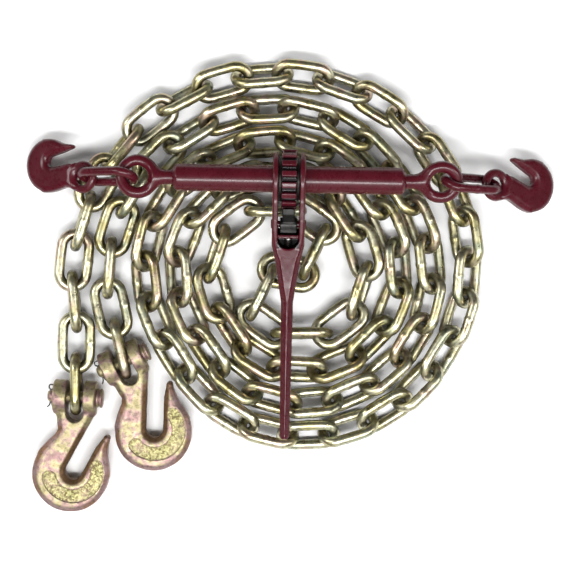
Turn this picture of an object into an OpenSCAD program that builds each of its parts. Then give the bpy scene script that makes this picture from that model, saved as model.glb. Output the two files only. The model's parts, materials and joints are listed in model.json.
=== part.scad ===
// Load binder chain: a ratchet load binder lying across a flat double-spiral coil of
// welded chain that ends in two clevis grab hooks.
// Millimetres, +Z up, floor at z = 0, barrel of the binder along X.

/* [Chain] */
// Diameter of the chain link's bar
chain_bar = 13; // [12.6:0.1:13.2]
// Outside length of one chain link
chain_len = 81; // [80.6:0.1:81.4]
// Outside width of one chain link
chain_wid = 47; // [46.6:0.1:47.4]
// Half of the mean distance from one link's middle to the next
link_half = 26; // [25.9:0.05:26.1]
// How far the shared pivot shifts towards the link that lies flatter
pivot_shift = 7; // [6:0.5:8]

/* [Coil] */
// Middle of the coil, along X
coil_x = 0; // [-1:1:1]
// Middle of the coil, along Y
coil_y = 20.2; // [16.2:1:24.2]
// Radius of the outer strand where it leaves the coil
coil_r = 273.2; // [273:0.1:273.4]
// Growth of the spiral's outer strand in one turn, in which two strands lie side by side
coil_growth = 90; // [90:0.5:91]
// Growth in one turn of the strands inside it, which lie closer
inner_growth = 79.8; // [79.7:0.1:79.9]
// Swing of the links' lean about 45 degrees along the outer strands
lean_swing = 17; // [14:1:18]
// Swing of the lean in the strands inside them
inner_swing = 5; // [3:1:5]

/* [Binder] */
// Middle of the barrel, along X
binder_x = -1; // [-2:1:0]
// Barrel axis, along Y
binder_y = 133.2; // [130.2:1:136.2]
// Height of the barrel axis above the floor
binder_z = 82; // [82:0.5:86]
// Length of the barrel
barrel_len = 284; // [280:1:290]
// Outside diameter of the barrel
barrel_od = 33.5; // [32:0.5:35]
// Outside diameter of the eyebolt's screw
screw_od = 21; // [20:0.5:22]
// Distance from the barrel's middle to each eye's middle
eye_x = 186; // [184:1:190]
// Radius of the eye ring's centre circle
eye_r = 20; // [19.5:0.1:20.5]
// Diameter of the eye ring's bar
eye_bar = 14; // [13:0.5:14]
// Number of teeth on the ratchet gear
gear_teeth = 16; // [16:1:16]
// Tip radius of the ratchet gear
gear_tip = 37; // [36:0.5:37]

/* [Handle] */
// Length from the barrel axis to the handle's end
handle_len = 325; // [310:5:330]
// Outside width of the yoke
yoke_w = 40; // [39:0.5:41]
// Thickness of each yoke ear
ear_t = 7; // [6.5:0.1:7]
// Radius of the yoke ears about the barrel
ear_r = 33.6; // [32:0.1:34]
// Downward slope of the handle from the barrel to the chain it rests on, in degrees
handle_droop = 5; // [4.5:0.1:5]
// Distance from the barrel axis to the pawl's pin
pawl_y = 55; // [54:0.5:56]

/* [Binder hooks] */
// Width of the hook's chain slot
slot_w = 14.6; // [13.8:0.1:15]
// Thickness of the hook's body
hook_t = 16; // [15:0.5:17]
// Slope of the hooks that lean from the coil's edge to the floor, in degrees
hook_lean = 30; // [29:0.5:31]

/* [Clevis hooks] */
// Width of the clevis hook's throat
throat_w = 21.5; // [20:0.5:22]
// Thickness of the clevis hook's body
clevis_t = 24; // [22:1:25]
// Diameter of the clevis pin
pin_d = 15; // [14:0.5:15]
// Slope of the clevis hooks that lie with their nose on the floor, in degrees
clevis_lean = 3.8; // [3.5:0.1:4]

/* [Hidden] */
$fn = 48;

zinc = "#b3ac86";
brass_zinc = "#c9b98a";
maroon = "#6e1f2f";
black = "#222222";
steel = "#9a9a9a";

// ---- chain layout ----------------------------------------------------------

// The middle link's heading, and the headings of the next links of each arm as they
// bend round to meet the spiral. The second arm is the first turned half round.
mid_heading = -9.52;
bend_headings = [mid_heading + 75, mid_heading + 155];
// Links of each arm that lie on the spiral, counted from the middle link
arm_links = [51, 35];
// Headings of the links of each tail, as seen from above
tail_headings = [[270, 271], [284, 284]];
// Phase and step of the lean's slow swing along the strand
lean_phase = 156;
lean_step = 11;
// Links from the loose end over which the outer strands' swing gives way to the inner
swing_change = [8, 10.5];
// The links lie flat and upright in turn for this many links at the middle, and
// change over this many more
mid_lean = 4;
mid_hold = 2;
mid_change = 8;
end_hold = 1;
end_change = 9;
// Turn of the spiral over which the middle's wider bend is taken up
ease_deg = 600;
outer_deg = 900;
// Part of a turn, from the outer end, that has the outer strand's growth
outer_part = 0.45;

function unit(h) = [cos(h), sin(h)];
function smooth(t) = let (s = min(1, max(0, t))) s * s * (3 - 2 * s);
function last_link(arm) = arm_links[arm] + len(tail_headings[arm]);

// Lean of link i of an arm from lying flat, for the even links; the odd links lean
// the other way, square to it
function lean(i, arm) = let (
        inside = smooth((last_link(arm) - i - swing_change[0]) / (swing_change[1] - swing_change[0])),
        most = lean_swing + (inner_swing - lean_swing) * inside,
        swing = 45 + most * sin(lean_step * i + lean_phase),
        out = mid_lean + (swing - mid_lean) * smooth((i - mid_hold) / mid_change))
    mid_lean + (out - mid_lean) * smooth((last_link(arm) - end_hold - i) / end_change);
function roll_of(i, arm) = i % 2 == 0 ? -lean(i, arm) : 90 - lean(i, arm);

// Distance from link i's middle to the points where it turns on its neighbours:
// short on a flat link, long on an upright one
function half_of(i, arm) =
    link_half + (i % 2 == 0 ? -1 : 1) * pivot_shift * (45 - lean(i, arm)) / 45;

// Height of link i's middle, with the steeper links of the strand on the floor
function height_of(i, arm) = let (a = lean(i, arm))
    chain_bar / 2 + (chain_wid - chain_bar) / 2 * max(sin(a), cos(a));

// The bends at the middle, as [x, y, heading, link number], ending with the pivot
bend_pivots = [for (k = 0, p = half_of(0, 0) * unit(mid_heading);
    k <= len(bend_headings);
    p = k < len(bend_headings) ? p + 2 * half_of(k + 1, 0) * unit(bend_headings[k]) : p,
    k = k + 1) p];
bend_links = [for (k = [0:len(bend_headings) - 1])
    let (c = bend_pivots[k] + half_of(k + 1, 0) * unit(bend_headings[k]))
        [c[0], c[1], bend_headings[k], k + 1]];
start = bend_pivots[len(bend_headings)];
start_r = norm(start);
start_deg = (atan2(start[1], start[0]) + 360) % 360;

// Shallow dents that let the second hook's pin lie beside the coil: deepest in the
// strand next to it, and less in each strand inside that
dent = 16;
dents = 8;
dent_deg = 576;
dent_width = 34;
function dent_depth(d, k = 0) = k == dents ? 0 : dent_depth(d, k + 1)
    + dent * (1 - k / dents) * exp(-pow((d + 180 * k - dent_deg) / dent_width, 2));

// Radius of an arm at its angle d, and the step to the next pivot along it
function spiral_r(d) = let (turns = (outer_deg - d) / 360)
    coil_r - coil_growth * min(turns, outer_part) - inner_growth * max(0, turns - outer_part)
    - dent_depth(d);
function arm_r(d) = spiral_r(d)
    + (start_r - spiral_r(start_deg)) * pow(max(0, 1 - (d - start_deg) / ease_deg), 2);
function arm_point(d) = arm_r(d) * unit(d);
function next_deg(d, span, step = 0, tries = 6) = tries == 0 ? d + step : let (
        r1 = arm_r(d),
        r2 = arm_r(d + step),
        s = 2 * asin(sqrt((span * span - (r2 - r1) * (r2 - r1)) / (4 * r1 * r2))))
    next_deg(d, span, s, tries - 1);

function spiral_links(arm) = [for (i = len(bend_links) + 1, d = start_deg,
        e = next_deg(d, 2 * half_of(i, arm));
    i <= arm_links[arm];
    d = e, i = i + 1, e = next_deg(d, 2 * half_of(i, arm)))
    let (p = arm_point(d), q = arm_point(e), m = (p + q) / 2)
        [m[0], m[1], atan2(q[1] - p[1], q[0] - p[0]), i]];

// Turns an arm's link half round for the second arm, and moves it to the coil's place
function placed(l, arm) = let (s = arm == 0 ? 1 : -1)
    [coil_x + s * l[0], coil_y + s * l[1], height_of(l[3], arm),
     l[2] + 180 * arm, roll_of(l[3], arm), half_of(l[3], arm)];
function arm_chain(arm) =
    [for (l = concat(bend_links, spiral_links(arm))) placed(l, arm)];
function end_pivot(l) = [l[0], l[1]] + l[5] * unit(l[3]);
function tail(arm, from) = [for (k = 0, i = arm_links[arm] + 1, p = end_pivot(from);
    k < len(tail_headings[arm]);
    p = p + 2 * half_of(i, arm) * unit(tail_headings[arm][k]), k = k + 1, i = i + 1)
    let (c = p + half_of(i, arm) * unit(tail_headings[arm][k]))
        [c[0], c[1], height_of(i, arm), tail_headings[arm][k], roll_of(i, arm),
         half_of(i, arm)]];

arm_a = arm_chain(0);
arm_b = arm_chain(1);
strand_a = concat(arm_a, tail(0, arm_a[len(arm_a) - 1]));
strand_b = concat(arm_b, tail(1, arm_b[len(arm_b) - 1]));
strands = [strand_a, strand_b];
middle_link = [coil_x, coil_y, height_of(0, 0), mid_heading, -mid_lean, half_of(0, 0)];
// The last three links of each strand are loose; the rest lie in the coil
loose = 3;
coil_links = concat(
    [for (i = [len(strand_a) - loose - 1:-1:0]) strand_a[i]],
    [middle_link],
    [for (i = [0:len(strand_b) - loose - 1]) strand_b[i]]);
per_node = ceil(len(coil_links) / 11);

// ---- chain -----------------------------------------------------------------

// An oval ring of round bar lying flat, its long axis along X
module oval_ring(length, width, bar) {
    r = (width - bar) / 2;
    s = (length - width) / 2;
    for (side = [-1, 1]) {
        translate([side * s, 0, 0]) rotate([0, 0, side * 90 - 180])
            rotate_extrude(angle = 180) translate([r, 0]) circle(d = bar);
        translate([-s, side * r, 0]) rotate([0, 90, 0]) cylinder(d = bar, h = 2 * s);
    }
}

module at_link(l) {
    translate([l[0], l[1], l[2]]) rotate([l[4], 0, l[3]]) children();
}

module chain_link() {
    color(zinc) oval_ring(chain_len, chain_wid, chain_bar);
}

module coil_chain(k) {
    for (i = [(k - 1) * per_node:min(k * per_node, len(coil_links)) - 1])
        at_link(coil_links[i]) chain_link();
}

module tail_link(arm, k) {
    at_link(strands[arm][len(strands[arm]) - loose + k - 1]) chain_link();
}

// ---- binder: barrel and screws ---------------------------------------------

running = 0.08;
gear_w = 18;
gear_root = 31;
washer_t = 3.2;
ear_in = yoke_w / 2 - ear_t;
tube_bore = 13;
nut_len = 40;
end_wall = 3;
chamfer = 4;
screw_r = screw_od / 2;
barrel_r = barrel_od / 2;

module at_binder() {
    translate([binder_x, binder_y, binder_z]) children();
}
// Turns a profile drawn with X as radius so that it stands about the barrel axis
module about_barrel() {
    rotate([0, 90, 0]) rotate_extrude() children();
}

module thrust_washers() {
    gap = (ear_in - gear_w / 2 - washer_t) / 2;
    color(steel) at_binder() for (side = [-1, 1])
        translate([side * (gear_w / 2 + gap + washer_t / 2) - washer_t / 2, 0, 0])
            rotate([0, 90, 0]) difference() {
                cylinder(r = 27, h = washer_t);
                translate([0, 0, -1]) cylinder(r = barrel_r + running, h = washer_t + 2);
            }
}

module barrel_tube() {
    half = barrel_len / 2;
    neck = screw_r + running;
    color(maroon) at_binder() about_barrel() polygon([
        [tube_bore, -half + end_wall], [neck, -half + end_wall], [neck, -half],
        [barrel_r - chamfer, -half], [barrel_r, -half + chamfer],
        [barrel_r, half - chamfer], [barrel_r - chamfer, half],
        [neck, half], [neck, half - end_wall], [tube_bore, half - end_wall]]);
}

module ratchet_gear() {
    tooth_w = 7;
    color(maroon) at_binder() rotate([handle_droop, 0, 0]) rotate([0, 90, 0])
        translate([0, 0, -gear_w / 2]) linear_extrude(gear_w) difference() {
            union() {
                circle(r = gear_root);
                intersection() {
                    circle(r = gear_tip);
                    for (k = [0:gear_teeth - 1]) rotate(90 + (k + 0.5) * 360 / gear_teeth)
                        translate([0, -tooth_w / 2]) square([gear_tip + 1, tooth_w]);
                }
            }
            circle(r = barrel_r);
        }
}

module thread_nut(side) {
    x = barrel_len / 2 - end_wall - nut_len;
    color(steel) at_binder() translate([side > 0 ? x : -x - nut_len, 0, 0])
        rotate([0, 90, 0]) difference() {
            cylinder(r = tube_bore, h = nut_len);
            translate([0, 0, -1]) cylinder(r = screw_r + running, h = nut_len + 2);
        }
}

// The eye's ring is tilted about the barrel axis by roll degrees
module eyebolt(side, roll) {
    shank_r = 9.5;
    inner_end = 10;
    screw_start = barrel_len / 2 + 1;
    color(maroon) at_binder() scale([side, 1, 1]) difference() {
        union() {
            rotate([roll, 0, 0]) translate([eye_x, 0, 0]) rotate_extrude()
                translate([eye_r, 0]) circle(d = eye_bar);
            translate([inner_end, 0, 0]) rotate([0, 90, 0])
                cylinder(r = screw_r, h = screw_start - inner_end);
            translate([screw_start, 0, 0]) rotate([0, 90, 0])
                cylinder(r = shank_r, h = eye_x - eye_r - screw_start);
        }
        rotate([roll, 0, 0]) translate([eye_x, 0, -20])
            cylinder(r = eye_r - eye_bar / 2 - 0.01, h = 40);
    }
}

// ---- binder: links and hooks -----------------------------------------------

blink_bar = 11.2;
blink_len = 84;
blink_wid = 41.2;
hook_eye_r = 15;
hook_eye_bar = 10.4;
// Middle of the hook's eye from the barrel's middle, and its height
hook_eye_x = 257;
hook_eye_z = 53.5;
// The hook's bar inside the link, and the eyebolt's
hook_bar = [hook_eye_x - hook_eye_r * cos(hook_lean), hook_eye_z + hook_eye_r * sin(hook_lean)];
eye_bar_pos = [eye_x + eye_r, binder_z];
link_run = hook_bar - eye_bar_pos;
link_slope = atan2(-link_run[1], link_run[0]);
// The link's middle lies this far along from the eyebolt's bar
link_along = 20.5;

module binder_link(side, roll) {
    color(maroon) translate([binder_x, binder_y, 0]) scale([side, 1, 1])
        translate([eye_bar_pos[0], 0, eye_bar_pos[1]]) rotate([0, link_slope, 0])
            translate([link_along, 0, 0]) rotate([roll, 0, 0])
                oval_ring(blink_len, blink_wid, blink_bar);
}

// The hook's outline without its eye: X away from the eye, the slot open towards it
back_r = 33.5;
back_pos = [54.5, 16];
slot_end = [48.2, 20.2];
finger_tip = [19, 38.2];
module binder_hook_outline() {
    difference() {
        union() {
            translate(back_pos) circle(r = back_r);
            polygon([[14, 18.6], [30, 15], [50, 14], [60, -16], [40, -14.2], [24, -11.8], [14, -14]]);
            polygon([[finger_tip[0] + 0.6, finger_tip[1] + 3.1], [62, 48.6], [66, 30],
                     [48, 26], [finger_tip[0] - 0.5, finger_tip[1] - 3.1]]);
            translate(finger_tip) circle(r = 3.2);
        }
        translate(slot_end) circle(d = slot_w);
        polygon([[slot_end[0], slot_end[1] - slot_w / 2], [slot_end[0], slot_end[1] + slot_w / 2],
                 [20, 34.9], [8, 40], [8, 20.4], [22, 17.2]]);
    }
}
module hook_plate(t, bevel) {
    translate([0, 0, -t / 2 + bevel]) linear_extrude(t - 2 * bevel) children();
    translate([0, 0, -t / 2]) linear_extrude(t) offset(delta = -bevel) children();
}

// The hook is turned about its eye by turn degrees
module binder_hook(side, turn) {
    bevel = 2;
    color(maroon) translate([binder_x, binder_y, 0]) scale([side, 1, 1])
        translate([hook_eye_x, 0, hook_eye_z]) rotate([0, hook_lean, 0])
        rotate([0, 0, turn]) difference() {
            union() {
                difference() {
                    hook_plate(hook_t, bevel) binder_hook_outline();
                    translate([0, 0, -hook_t]) cylinder(r = hook_eye_r, h = 2 * hook_t);
                }
                rotate_extrude() translate([hook_eye_r, 0]) circle(d = hook_eye_bar);
            }
            translate([0, 0, -hook_t]) cylinder(r = hook_eye_r - hook_eye_bar / 2 - 0.01,
                                                h = 2 * hook_t);
        }
}

// ---- binder: handle --------------------------------------------------------

module at_handle() {
    at_binder() rotate([handle_droop, 0, 0]) children();
}
// Turns a side profile drawn in (Y, Z) so that it is extruded along X
module across(w) {
    translate([-w / 2, 0, 0]) rotate([90, 0, 90]) linear_extrude(w) children();
}
slot_bottom = 85;
lever_top = [[-slot_bottom + 4, yoke_w / 2], [-100, 15.5], [-150, 7.5], [-handle_len, 6]];
lever_side = [[0, 28], [-50, 25], [-slot_bottom, 16.5], [-150, 13.5], [-handle_len, 10]];

module handle_side() {
    polygon(concat(lever_side, [for (k = [len(lever_side) - 1:-1:0])
        [lever_side[k][0], -lever_side[k][1]]]));
    circle(r = ear_r);
}
module handle_top() {
    half = concat([[ear_r, yoke_w / 2]], lever_top);
    polygon(concat([for (p = half) [p[1], p[0]]],
                   [for (k = [len(half) - 1:-1:0]) [-half[k][1], half[k][0]]]));
}
web_y = 70;
web_t = 4;
module handle() {
    color(maroon) at_handle() union() {
        difference() {
            intersection() {
                across(yoke_w) handle_side();
                translate([0, 0, -50]) linear_extrude(100) handle_top();
            }
            // the yoke's slot, open towards the gear and at its top and bottom
            translate([-ear_in, -slot_bottom + ear_in, -50])
                cube([2 * ear_in, 200, 100]);
            translate([0, -slot_bottom + ear_in, -50]) cylinder(r = ear_in, h = 100);
            // bores for the barrel and the pawl's pin
            translate([-50, 0, 0]) rotate([0, 90, 0]) cylinder(r = barrel_r + running, h = 100);
            translate([-50, -pawl_y, 0]) rotate([0, 90, 0]) cylinder(r = pawl_pin_r, h = 100);
        }
        // the web that guides the plunger
        difference() {
            translate([-ear_in - 1, -web_y - web_t / 2, -12]) cube([2 * ear_in + 2, web_t, 24]);
            translate([0, -web_y - web_t, 0]) rotate([-90, 0, 0])
                cylinder(r = plunger_r + running, h = 2 * web_t);
        }
    }
}

pawl_pin_r = 4;
plunger_r = 3;
pawl_tail = 11;
pawl_tail_half = 5;
module pawl() {
    claw_w = 15;
    boss_w = 21;
    tip = 19.1;
    color(black) at_handle() translate([0, -pawl_y, 0]) difference() {
        union() {
            across(claw_w) polygon([[0, 6], [12, 17], [tip, tip], [17, 14], [9, 0],
                                    [17, -14], [tip, -tip], [12, -17], [0, -6]]);
            across(boss_w) circle(r = 8);
            across(boss_w) polygon([[0, 8], [-pawl_tail, pawl_tail_half],
                                    [-pawl_tail, -pawl_tail_half], [0, -8]]);
        }
        translate([-20, 0, 0]) rotate([0, 90, 0]) cylinder(r = pawl_pin_r + running, h = 40);
    }
}

module pawl_pin() {
    rivet_h = 1.5;
    color(maroon) at_handle() translate([-yoke_w / 2, -pawl_y, 0]) rotate([0, 90, 0]) {
        cylinder(r = pawl_pin_r, h = yoke_w);
        for (z = [-rivet_h, yoke_w]) translate([0, 0, z])
            cylinder(r = pawl_pin_r + 2, h = rivet_h);
    }
}

// The plunger holds the pawl's tail and clears its corners as it rocks; the collar
// takes the spring
plunger_front = pawl_y + norm([pawl_tail, pawl_tail_half]) + 0.3;
module detent_plunger() {
    collar_y = web_y + web_t / 2 + 0.3;
    color(steel) at_handle() {
        translate([0, -plunger_front, 0]) rotate([90, 0, 0]) cylinder(r = plunger_r, h = 11);
        translate([0, -collar_y, 0]) rotate([90, 0, 0]) cylinder(r = 5, h = 2);
    }
}
module detent_spring() {
    turns = 4;
    wire = 1.6;
    front = web_y + web_t / 2 + 2.6 + wire / 2;
    color(steel) at_handle() for (k = [0:turns - 1])
        translate([0, -front - k * (wire + 0.9), 0]) rotate([90, 0, 0]) rotate_extrude()
            translate([4.2, 0]) circle(d = wire);
}

// ---- clevis grab hooks -----------------------------------------------------

// The hook's own frame: pin axis along X through the origin, body towards -Y
pin_r = pin_d / 2;
clevis_r = 21.5;
clevis_gap = 22;
clevis_left = 28;
clevis_right = 25.5;
gap_bottom = 31;
bowl_pos = [-2.5, -98];
bowl_r = 48.5;
throat_pos = [1, -94];
throat_dir = 64;
nose_tip = [41.6, -50.4];
module clevis_hook_outline() {
    difference() {
        union() {
            translate(bowl_pos) circle(r = bowl_r);
            polygon([[-25, -18], [25, -18], [24, -24], [10, -90], [-40, -70], [-31, -58],
                     [-23.5, -48], [-20.8, -41], [-22.4, -32]]);
            polygon([[5, -110], [45.9, -100], [45.4, -86], [42.6, -74], [42.9, -62],
                     [45.9, -51], [37.4, -49]]);
            translate(nose_tip) circle(r = 4.3);
        }
        translate(throat_pos) circle(d = throat_w);
        translate(throat_pos) rotate(throat_dir) translate([0, -throat_w / 2])
            square([90, throat_w]);
    }
}

// Places children on the pin of the hook at the end of a strand
pin_reach = 17.6;
function last_of(arm) = strands[arm][len(strands[arm]) - 1];
module at_clevis(arm) {
    l = last_of(arm);
    p = [l[0], l[1]] + pin_reach * unit(l[3]);
    translate([p[0], p[1], clevis_r]) rotate([0, 0, l[3] + 90 + clevis_turn[arm]])
        rotate([clevis_lean, 0, 0]) children();
}
// Turn of each clevis hook about the vertical, away from its last link
clevis_turn = [-3, 11];

module clevis_hook(arm) {
    bevel = 4;
    color(brass_zinc) at_clevis(arm) difference() {
        union() {
            hook_plate(clevis_t, bevel) clevis_hook_outline();
            translate([-clevis_left, 0, 0]) rotate([0, 90, 0])
                cylinder(r = clevis_r, h = clevis_left + clevis_right);
            translate([-clevis_left + 2, -gap_bottom - 3, -15])
                cube([clevis_left + clevis_right - 4, gap_bottom + 3, 30]);
        }
        translate([-clevis_gap / 2, -gap_bottom + clevis_gap / 2, -40])
            cube([clevis_gap, 80, 80]);
        translate([0, -gap_bottom + clevis_gap / 2, -40]) cylinder(d = clevis_gap, h = 80);
        translate([-50, 0, 0]) rotate([0, 90, 0]) cylinder(r = pin_r + running, h = 100);
    }
}

pin_head_r = 12;
pin_head_t = 8.5;
pin_out = 8;
cotter_wire = 1.7;
cotter_x = clevis_left + pin_out / 2;
module clevis_pin(arm) {
    color(brass_zinc) at_clevis(arm) difference() {
        union() {
            translate([-clevis_left - pin_out, 0, 0]) rotate([0, 90, 0])
                cylinder(r = pin_r, h = clevis_left + pin_out + clevis_right + 1);
            translate([clevis_right + 0.3, 0, 0]) rotate([0, 90, 0])
                cylinder(r = pin_head_r, h = pin_head_t);
        }
        translate([-cotter_x, 50, 0]) rotate([90, 0, 0])
            cylinder(r = cotter_wire + 0.1, h = 100);
    }
}
module cotter_pin(arm) {
    leg = 30;
    eye = 3;
    color(steel) at_clevis(arm) translate([-cotter_x, 0, 0]) {
        translate([0, pin_r + 1, 0]) rotate([90, 0, 0])
            cylinder(r = cotter_wire, h = leg);
        translate([0, pin_r + 1 + eye, 0]) rotate([0, 90, 0]) rotate_extrude()
            translate([eye, 0]) circle(r = cotter_wire);
    }
}

// ---- nodes -----------------------------------------------------------------

for (k = [1:11]) coil_chain(k);
for (k = [1:3]) {
    tail_link(0, k);
    tail_link(1, k);
}
thrust_washers();
barrel_tube();
ratchet_gear();
thread_nut(-1);  // thread_nut_left
thread_nut(1);  // thread_nut_right
eyebolt(-1, 0);  // eyebolt_left
eyebolt(1, 25);  // eyebolt_right
binder_link(-1, 70);  // binder_link_left
binder_link(1, -60);  // binder_link_right
binder_hook(-1, 0);  // binder_hook_left
binder_hook(1, -14);  // binder_hook_right
handle();
pawl();
pawl_pin();
detent_plunger();
detent_spring();
clevis_hook(0);  // clevis_hook_a
clevis_pin(0);  // clevis_pin_a
cotter_pin(0);  // cotter_pin_a
clevis_hook(1);  // clevis_hook_b
clevis_pin(1);  // clevis_pin_b
cotter_pin(1);  // cotter_pin_b
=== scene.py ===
"""Load binder chain: a ratchet binder lying across a double-spiral coil of zinc-plated chain.

Shapes are worked out in millimetres in each piece's own frame and placed by the joints, mounts and
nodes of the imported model, which are in metres.
"""
import json
import math

import bpy
import numpy as np
from mathutils import Matrix, Vector


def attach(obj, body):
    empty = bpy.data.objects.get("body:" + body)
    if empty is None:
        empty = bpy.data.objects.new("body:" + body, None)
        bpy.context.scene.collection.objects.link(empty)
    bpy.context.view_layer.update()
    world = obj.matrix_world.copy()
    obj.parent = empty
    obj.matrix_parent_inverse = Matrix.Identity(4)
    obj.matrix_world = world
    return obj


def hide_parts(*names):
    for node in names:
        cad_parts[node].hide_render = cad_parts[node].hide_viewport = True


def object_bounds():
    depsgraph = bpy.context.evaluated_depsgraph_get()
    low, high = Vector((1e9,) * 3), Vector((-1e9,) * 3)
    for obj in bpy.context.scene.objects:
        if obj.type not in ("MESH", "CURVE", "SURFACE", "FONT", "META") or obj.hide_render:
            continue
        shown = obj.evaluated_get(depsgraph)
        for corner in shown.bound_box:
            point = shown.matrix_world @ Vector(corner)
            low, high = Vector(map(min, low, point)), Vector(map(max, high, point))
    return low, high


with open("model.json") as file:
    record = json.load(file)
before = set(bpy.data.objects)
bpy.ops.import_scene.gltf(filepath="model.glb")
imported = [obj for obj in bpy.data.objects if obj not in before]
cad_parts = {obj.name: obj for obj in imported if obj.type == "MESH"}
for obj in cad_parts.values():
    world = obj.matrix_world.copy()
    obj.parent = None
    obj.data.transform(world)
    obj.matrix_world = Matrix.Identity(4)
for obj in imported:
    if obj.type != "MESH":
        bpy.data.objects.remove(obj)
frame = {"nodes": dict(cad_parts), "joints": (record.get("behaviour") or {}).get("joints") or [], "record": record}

CAD_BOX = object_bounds()
MM = 0.001
JOINTS = {joint["name"]: joint for joint in frame["joints"]}
MOUNTS = {mount["name"]: mount for mount in frame["record"]["mounts"]}
BODY_OF = {node: body for body, nodes in frame["record"]["behaviour"]["bodies"].items() for node in nodes}


def joint_point(name):
    """A joint's point in millimetres."""
    return np.array(JOINTS[name]["pos_m"]) / MM


# ---- meshes ----------------------------------------------------------------


def place(origin, x_axis, y_axis, z_axis):
    """4 x 4 matrix that takes a piece's own millimetres to the model's metres."""
    matrix = np.eye(4)
    matrix[:3, 0] = np.array(x_axis) * MM
    matrix[:3, 1] = np.array(y_axis) * MM
    matrix[:3, 2] = np.array(z_axis) * MM
    matrix[:3, 3] = np.array(origin) * MM
    return matrix


def piece(name, parts, material, node, tones=None):
    """Makes one object of [(points, quads, matrix), ...] that rides with a CAD node and replaces it.

    tones holds three values from 0 to 1 for each point, which the material reads as its tone.
    """
    points, quads, start = [], [], 0
    for part_points, part_quads, matrix in parts:
        moved = part_points @ matrix[:3, :3].T + matrix[:3, 3]
        turned = np.linalg.det(matrix[:3, :3]) < 0
        quads.append((part_quads[:, ::-1] if turned else part_quads) + start)
        points.append(moved)
        start += len(moved)
    points, quads = np.concatenate(points), np.concatenate(quads)
    mesh = bpy.data.meshes.new(name)
    mesh.vertices.add(len(points))
    mesh.vertices.foreach_set("co", points.astype(np.float32).ravel())
    mesh.loops.add(quads.size)
    mesh.loops.foreach_set("vertex_index", quads.astype(np.int32).ravel())
    mesh.polygons.add(len(quads))
    mesh.polygons.foreach_set("loop_start", np.arange(0, quads.size, 4, dtype=np.int32))
    mesh.polygons.foreach_set("use_smooth", np.ones(len(quads), bool))
    mesh.update(calc_edges=True)
    mesh.validate()
    if tones is not None:
        layer = mesh.color_attributes.new(name="tone", type="FLOAT_COLOR", domain="POINT")
        colours = np.column_stack([tones, np.ones(len(tones))]).astype(np.float32)
        layer.data.foreach_set("color", colours.ravel())
    mesh.materials.append(material)
    made = bpy.data.objects.new(name, mesh)
    bpy.context.scene.collection.objects.link(made)
    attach(made, BODY_OF[node])
    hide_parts(node)
    return made


def ring_quads(rings, sides, closed):
    """Quads of a tube of rings, each of so many points."""
    ring = np.arange(rings if closed else rings - 1)[:, None]
    side = np.arange(sides)[None]
    after, beside = (ring + 1) % rings, (side + 1) % sides
    corners = (ring * sides + side, after * sides + side, after * sides + beside, ring * sides + beside)
    return np.stack([np.broadcast_to(c, (len(ring), sides)).ravel() for c in corners], axis=1)


def tube(path, radius, sides=20, closed=False):
    """A round tube along a path, with a radius for each of its points and flat ends."""
    path = np.asarray(path, float)
    radius = np.broadcast_to(radius, len(path))
    if closed:
        along = np.roll(path, -1, 0) - np.roll(path, 1, 0)
    else:
        along = np.gradient(path, axis=0)
        path = np.concatenate([path[:1], path, path[-1:]])
        along = np.concatenate([along[:1], along, along[-1:]])
        radius = np.concatenate([[1e-3], radius, [1e-3]])
    along /= np.linalg.norm(along, axis=1)[:, None]
    side = np.cross(along[0], [0.31, 0.52, 0.79])
    frames = []
    for direction in along:
        side = side - direction * (side @ direction)
        side /= np.linalg.norm(side)
        frames.append((side, np.cross(direction, side)))
    turn = np.arange(sides) * 2 * math.pi / sides
    first = np.array([f[0] for f in frames])[:, None] * np.cos(turn)[None, :, None]
    second = np.array([f[1] for f in frames])[:, None] * np.sin(turn)[None, :, None]
    points = path[:, None] + radius[:, None, None] * (first + second)
    return points.reshape(-1, 3), ring_quads(len(path), sides, closed)


def lathe(profile, sides=72):
    """A turned part about the X axis, from its (x, radius) outline. Ends on the axis close it."""
    profile = np.array(profile, float)
    profile[:, 1] = np.maximum(profile[:, 1], 1e-3)
    turn = np.arange(sides) * 2 * math.pi / sides
    points = np.zeros((len(profile), sides, 3))
    points[:, :, 0] = profile[:, :1]
    points[:, :, 1] = profile[:, 1:] * np.cos(turn)
    points[:, :, 2] = profile[:, 1:] * np.sin(turn)
    return points.reshape(-1, 3), ring_quads(len(profile), sides, False)


def rounded(profile, radius, steps=4):
    """An outline of (x, radius) points with its inner corners rounded."""
    profile = [np.array(p, float) for p in profile]
    out = [profile[0]]
    for before, corner, after in zip(profile, profile[1:], profile[2:]):
        to_before, to_after = before - corner, after - corner
        cut = min(radius, np.linalg.norm(to_before) / 2.2, np.linalg.norm(to_after) / 2.2)
        start = corner + to_before / np.linalg.norm(to_before) * cut
        end = corner + to_after / np.linalg.norm(to_after) * cut
        for t in np.linspace(0, 1, steps + 1):
            out.append((1 - t) ** 2 * start + 2 * t * (1 - t) * corner + t * t * end)
    return np.array(out + [profile[-1]])


# ---- solid shapes by distance ----------------------------------------------


def smooth_min(a, b, blend):
    """Union of two shapes with a fillet."""
    share = np.clip(0.5 + 0.5 * (b - a) / blend, 0, 1)
    return b + (a - b) * share - blend * share * (1 - share)


def smooth_max(a, b, blend):
    """Intersection of two shapes with a rounded edge."""
    return -smooth_min(-a, -b, blend)


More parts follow.
